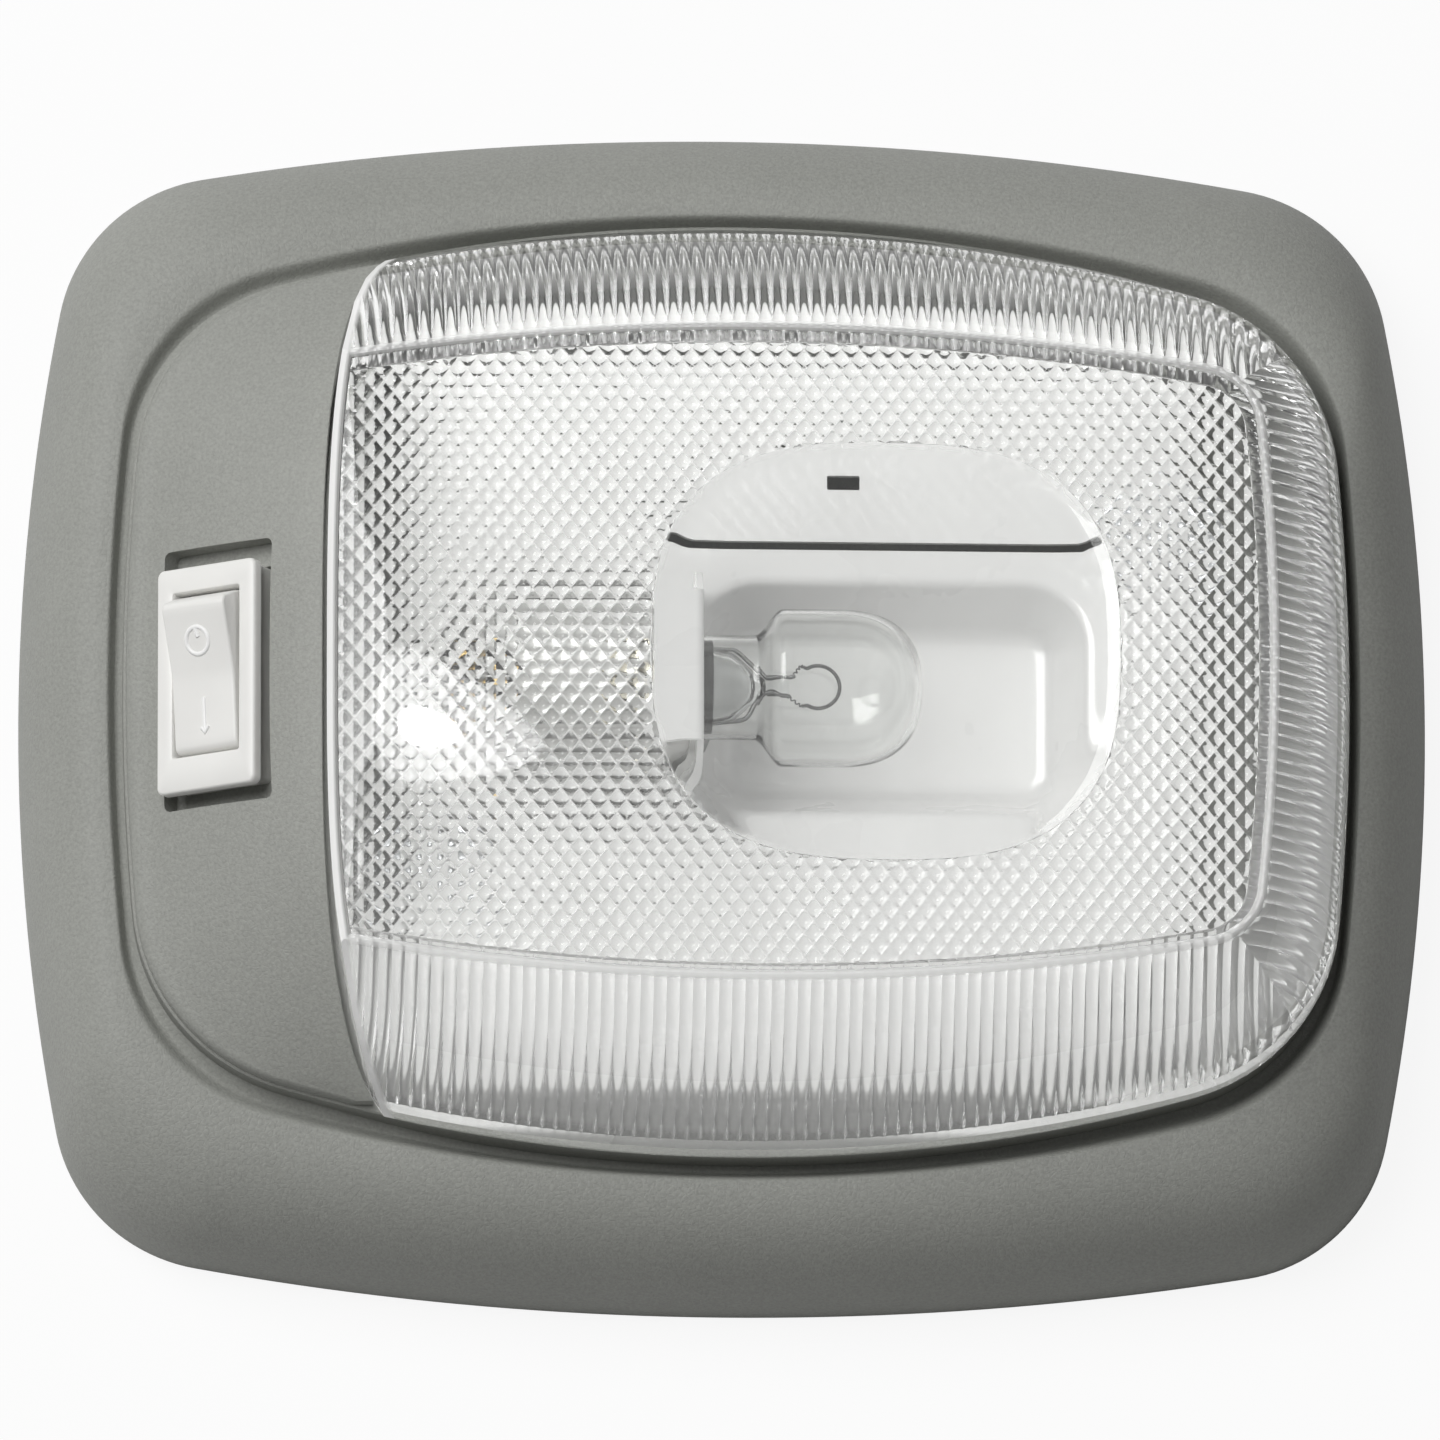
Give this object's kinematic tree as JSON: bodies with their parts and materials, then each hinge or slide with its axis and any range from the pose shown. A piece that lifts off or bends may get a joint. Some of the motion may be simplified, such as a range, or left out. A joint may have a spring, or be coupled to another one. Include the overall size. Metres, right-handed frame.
{
  "type": "vehicle dome light",
  "caption": "Ceiling dome light with bowed grey base, clip-on clear prismatic lens, white reflector, bayonet lamp and rocker switch in a sloping panel.",
  "frame": {"origin": "centre of the base's back face, which lies on the ceiling", "axes": "+Z out of the back face through the lens, -X towards the switch, +Y up in the picture"},
  "size_m": [0.165, 0.141, 0.0424],
  "materials": {
    "housing_grey": "fine-grained",
    "lens_clear": "clear, moulded prisms inside",
    "reflector_white": "white enamel",
    "screw_steel": "zinc plated",
    "socket_steel": "tin plated",
    "rivet_alloy": "plain",
    "fibre_board": "fibre",
    "contact_brass": "plain",
    "spring_steel": "plain",
    "lamp_glass": "clear",
    "stem_glass": "clear",
    "lead_metal": "plain",
    "filament_metal": "coiled wire",
    "cap_brass": "nickel plated",
    "cap_black": "black vitrite",
    "switch_white": "satin",
    "plunger_black": "plain",
    "wire_black": "insulated",
    "terminal_tinned": "tinned"
  },
  "bodies": {
    "housing": {"base_housing": "housing_grey", "reflector": "reflector_white", "reflector_screws": "screw_steel", "lamp_socket": "socket_steel", "socket_rivets": "rivet_alloy", "socket_insulator": "fibre_board", "socket_contact": "contact_brass", "socket_spring": "spring_steel", "bulb_glass": "lamp_glass", "bulb_stem": "stem_glass", "bulb_lead_wires": "lead_metal", "bulb_filament": "filament_metal", "bulb_cap": "cap_brass", "bulb_cap_insulator": "cap_black", "bulb_contact": "lead_metal", "switch_housing": "switch_white", "common_terminal": "contact_brass", "load_terminal": "contact_brass", "jumper_wire": "wire_black", "jumper_terminal": "terminal_tinned"},
    "lens": {"lens": "lens_clear"},
    "rocker": {"switch_rocker": "switch_white", "rocker_plunger": "plunger_black", "plunger_spring": "spring_steel"},
    "contact_lever": {"contact_lever": "contact_brass"}
  },
  "joints": [
    {"name": "lens_lift", "type": "slide", "parent": "housing", "child": "lens", "axis": [0, 0, 1], "range_m": [0, 0.035]},
    {"name": "rocker_hinge", "type": "hinge", "parent": "housing", "child": "rocker", "pos_m": [-0.05993, -0.0007, 0.02743], "axis": [-0.8192, 0, -0.5736], "range_deg": [0, 21]},
    {"name": "lever_rock", "type": "hinge", "parent": "housing", "child": "contact_lever", "pos_m": [-0.05643, -0.0007, 0.02243], "axis": [-0.8192, 0, -0.5736], "range_deg": [-12, 0]}
  ],
  "couplings": [
    {"joint": "lever_rock", "follows": "rocker_hinge", "ratio": -0.5714}
  ]
}
